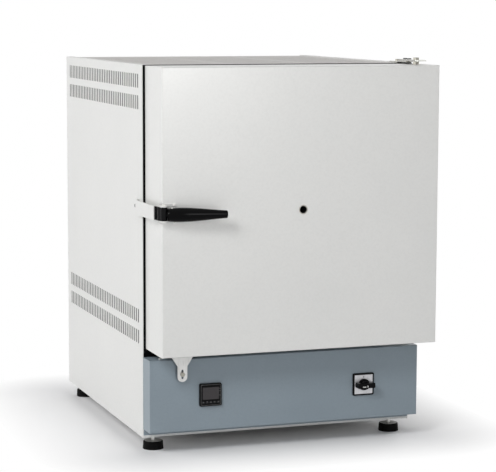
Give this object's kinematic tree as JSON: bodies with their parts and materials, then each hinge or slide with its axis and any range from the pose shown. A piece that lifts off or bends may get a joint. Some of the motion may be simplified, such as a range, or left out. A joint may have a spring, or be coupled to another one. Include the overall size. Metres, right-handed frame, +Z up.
{
  "type": "muffle furnace",
  "caption": "Box muffle furnace with a thick side-hung door, a lever latch, vented side panels and a control panel with a controller and a rotary switch below the door.",
  "frame": {"origin": "on the floor, under the middle of the whole furnace", "axes": "+Z up, front faces -Y, +X to the right of someone facing the door"},
  "size_m": [0.617, 0.8205, 0.8168],
  "materials": {
    "white_coat": "matte",
    "slate_coat": "matte",
    "black_coat": "matte",
    "galvanised": "satin",
    "zinc": "satin",
    "black_steel": "satin",
    "fibre": "matte",
    "ceramic_plate": "matte",
    "element_wire": "matte",
    "bronze": "satin",
    "black_plastic": "matte",
    "window": "gloss",
    "key_plastic": "matte",
    "plunger_plastic": "matte",
    "silver_plate": "satin",
    "foot_rubber": "matte",
    "block_plastic": "matte",
    "heat_sink": "satin"
  },
  "bodies": {
    "case": {"left_side_panel": "white_coat", "right_side_panel": "white_coat", "top_cover": "galvanised", "rear_panel": "galvanised", "base_pan": "white_coat", "front_frame": "black_coat", "control_panel": "slate_coat", "insulation_casing": "galvanised", "chamber_floor": "fibre", "chamber_roof": "fibre", "chamber_left_wall": "fibre", "chamber_right_wall": "fibre", "chamber_back_wall": "fibre", "mouth_collar": "fibre", "heating_elements": "element_wire", "hearth_plate": "ceramic_plate", "thermocouple": "ceramic_plate", "door_gasket": "fibre", "catch_bracket": "white_coat", "catch_hardware": "black_steel", "controller_housing": "black_plastic", "controller_window": "window", "switch_body": "black_plastic", "switch_frame": "black_plastic", "switch_plate": "silver_plate", "door_switch_body": "black_plastic", "top_hinge_base": "zinc", "top_hinge_arm": "zinc", "hinge_screws": "black_steel", "hinge_bolt": "zinc", "top_pivot_bolt": "zinc", "bottom_hinge_bracket": "zinc", "case_screws": "black_steel", "cable_gland": "black_plastic", "terminal_block": "block_plastic", "power_relay": "heat_sink", "foot_front_left": "foot_rubber", "foot_front_right": "foot_rubber", "foot_back_left": "foot_rubber", "foot_back_right": "foot_rubber"},
    "door": {"door_shell": "white_coat", "door_back_plate": "galvanised", "door_insulation": "fibre", "door_port_tube": "ceramic_plate", "hinge_bushes": "bronze", "switch_tongue": "white_coat", "tongue_screw": "zinc", "latch_bracket": "white_coat", "latch_pivot_bolt": "zinc", "latch_screws": "zinc"},
    "handle": {"latch_lever": "zinc", "handle_grip": "black_plastic", "grip_screw": "zinc"},
    "switch_knob": {"switch_knob": "black_plastic"},
    "switch_plunger": {"switch_plunger": "plunger_plastic"},
    "key_1": {"key_1": "key_plastic"},
    "key_2": {"key_2": "key_plastic"},
    "key_3": {"key_3": "key_plastic"},
    "key_4": {"key_4": "key_plastic"},
    "key_5": {"key_5": "key_plastic"}
  },
  "joints": [
    {"name": "door_swing", "type": "hinge", "parent": "case", "child": "door", "pos_m": [0.28603, -0.30025, 0.5112], "axis": [0, 0, 1], "range_deg": [0, 130]},
    {"name": "handle_swing", "type": "hinge", "parent": "door", "child": "handle", "pos_m": [-0.293, -0.38075, 0.5112], "axis": [0, 0, -1], "range_deg": [0, 13]},
    {"name": "knob_turn", "type": "hinge", "parent": "case", "child": "switch_knob", "pos_m": [0.175, -0.29425, 0.124], "axis": [0, 1, 0], "range_deg": [0, 90]},
    {"name": "key_1_press", "type": "slide", "parent": "case", "child": "key_1", "axis": [0, 1, 0], "range_m": [0, 0.0006], "stiffness_N_per_m": 400},
    {"name": "key_2_press", "type": "slide", "parent": "case", "child": "key_2", "axis": [0, 1, 0], "range_m": [0, 0.0006], "stiffness_N_per_m": 400},
    {"name": "key_3_press", "type": "slide", "parent": "case", "child": "key_3", "axis": [0, 1, 0], "range_m": [0, 0.0006], "stiffness_N_per_m": 400},
    {"name": "key_4_press", "type": "slide", "parent": "case", "child": "key_4", "axis": [0, 1, 0], "range_m": [0, 0.0006], "stiffness_N_per_m": 400},
    {"name": "key_5_press", "type": "slide", "parent": "case", "child": "key_5", "axis": [0, 1, 0], "range_m": [0, 0.0006], "stiffness_N_per_m": 400},
    {"name": "plunger_travel", "type": "slide", "parent": "case", "child": "switch_plunger", "axis": [0, -1, 0], "range_m": [0, 0.003]}
  ],
  "couplings": [
    {"joint": "plunger_travel", "follows": "door_swing", "m_per_rad": 0.001322}
  ]
}
